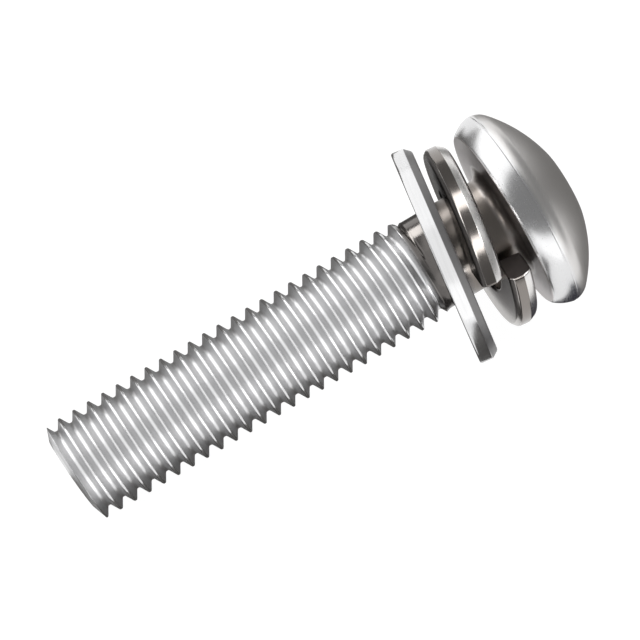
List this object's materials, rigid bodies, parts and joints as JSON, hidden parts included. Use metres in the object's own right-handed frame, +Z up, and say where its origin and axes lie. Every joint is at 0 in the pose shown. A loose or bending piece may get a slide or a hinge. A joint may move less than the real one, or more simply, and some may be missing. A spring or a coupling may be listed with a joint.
{
  "type": "button head screw",
  "caption": "Button head machine screw with a hexagon socket, a coarse right-hand thread, and a split spring washer and a plain washer held captive on its neck.",
  "frame": {"origin": "on the surface the screw lies on, under the middle of its length", "axes": "+X along the length towards the head, +Z up; the screw's own axis lies in the XZ plane and rises about 8 degrees towards the head"},
  "size_m": [0.0521, 0.0205, 0.021],
  "materials": {
    "screw_steel": "bright satin",
    "spring_steel": "bright satin, slightly darker",
    "washer_steel": "bright, lightly streaked rim"
  },
  "bodies": {
    "screw": {"screw": "screw_steel"},
    "spring_washer": {"spring_washer": "spring_steel"},
    "plain_washer": {"plain_washer": "washer_steel"}
  },
  "joints": [
    {"name": "spring_washer_spin", "type": "hinge", "parent": "screw", "child": "spring_washer", "pos_m": [0.01656, 0, 0.01079], "axis": [0.9897, 0, 0.1434], "continuous": true},
    {"name": "plain_washer_spin", "type": "hinge", "parent": "spring_washer", "child": "plain_washer", "pos_m": [0.01324, -0.00007, 0.01028], "axis": [0.9679, -0.1537, 0.1987], "continuous": true}
  ]
}
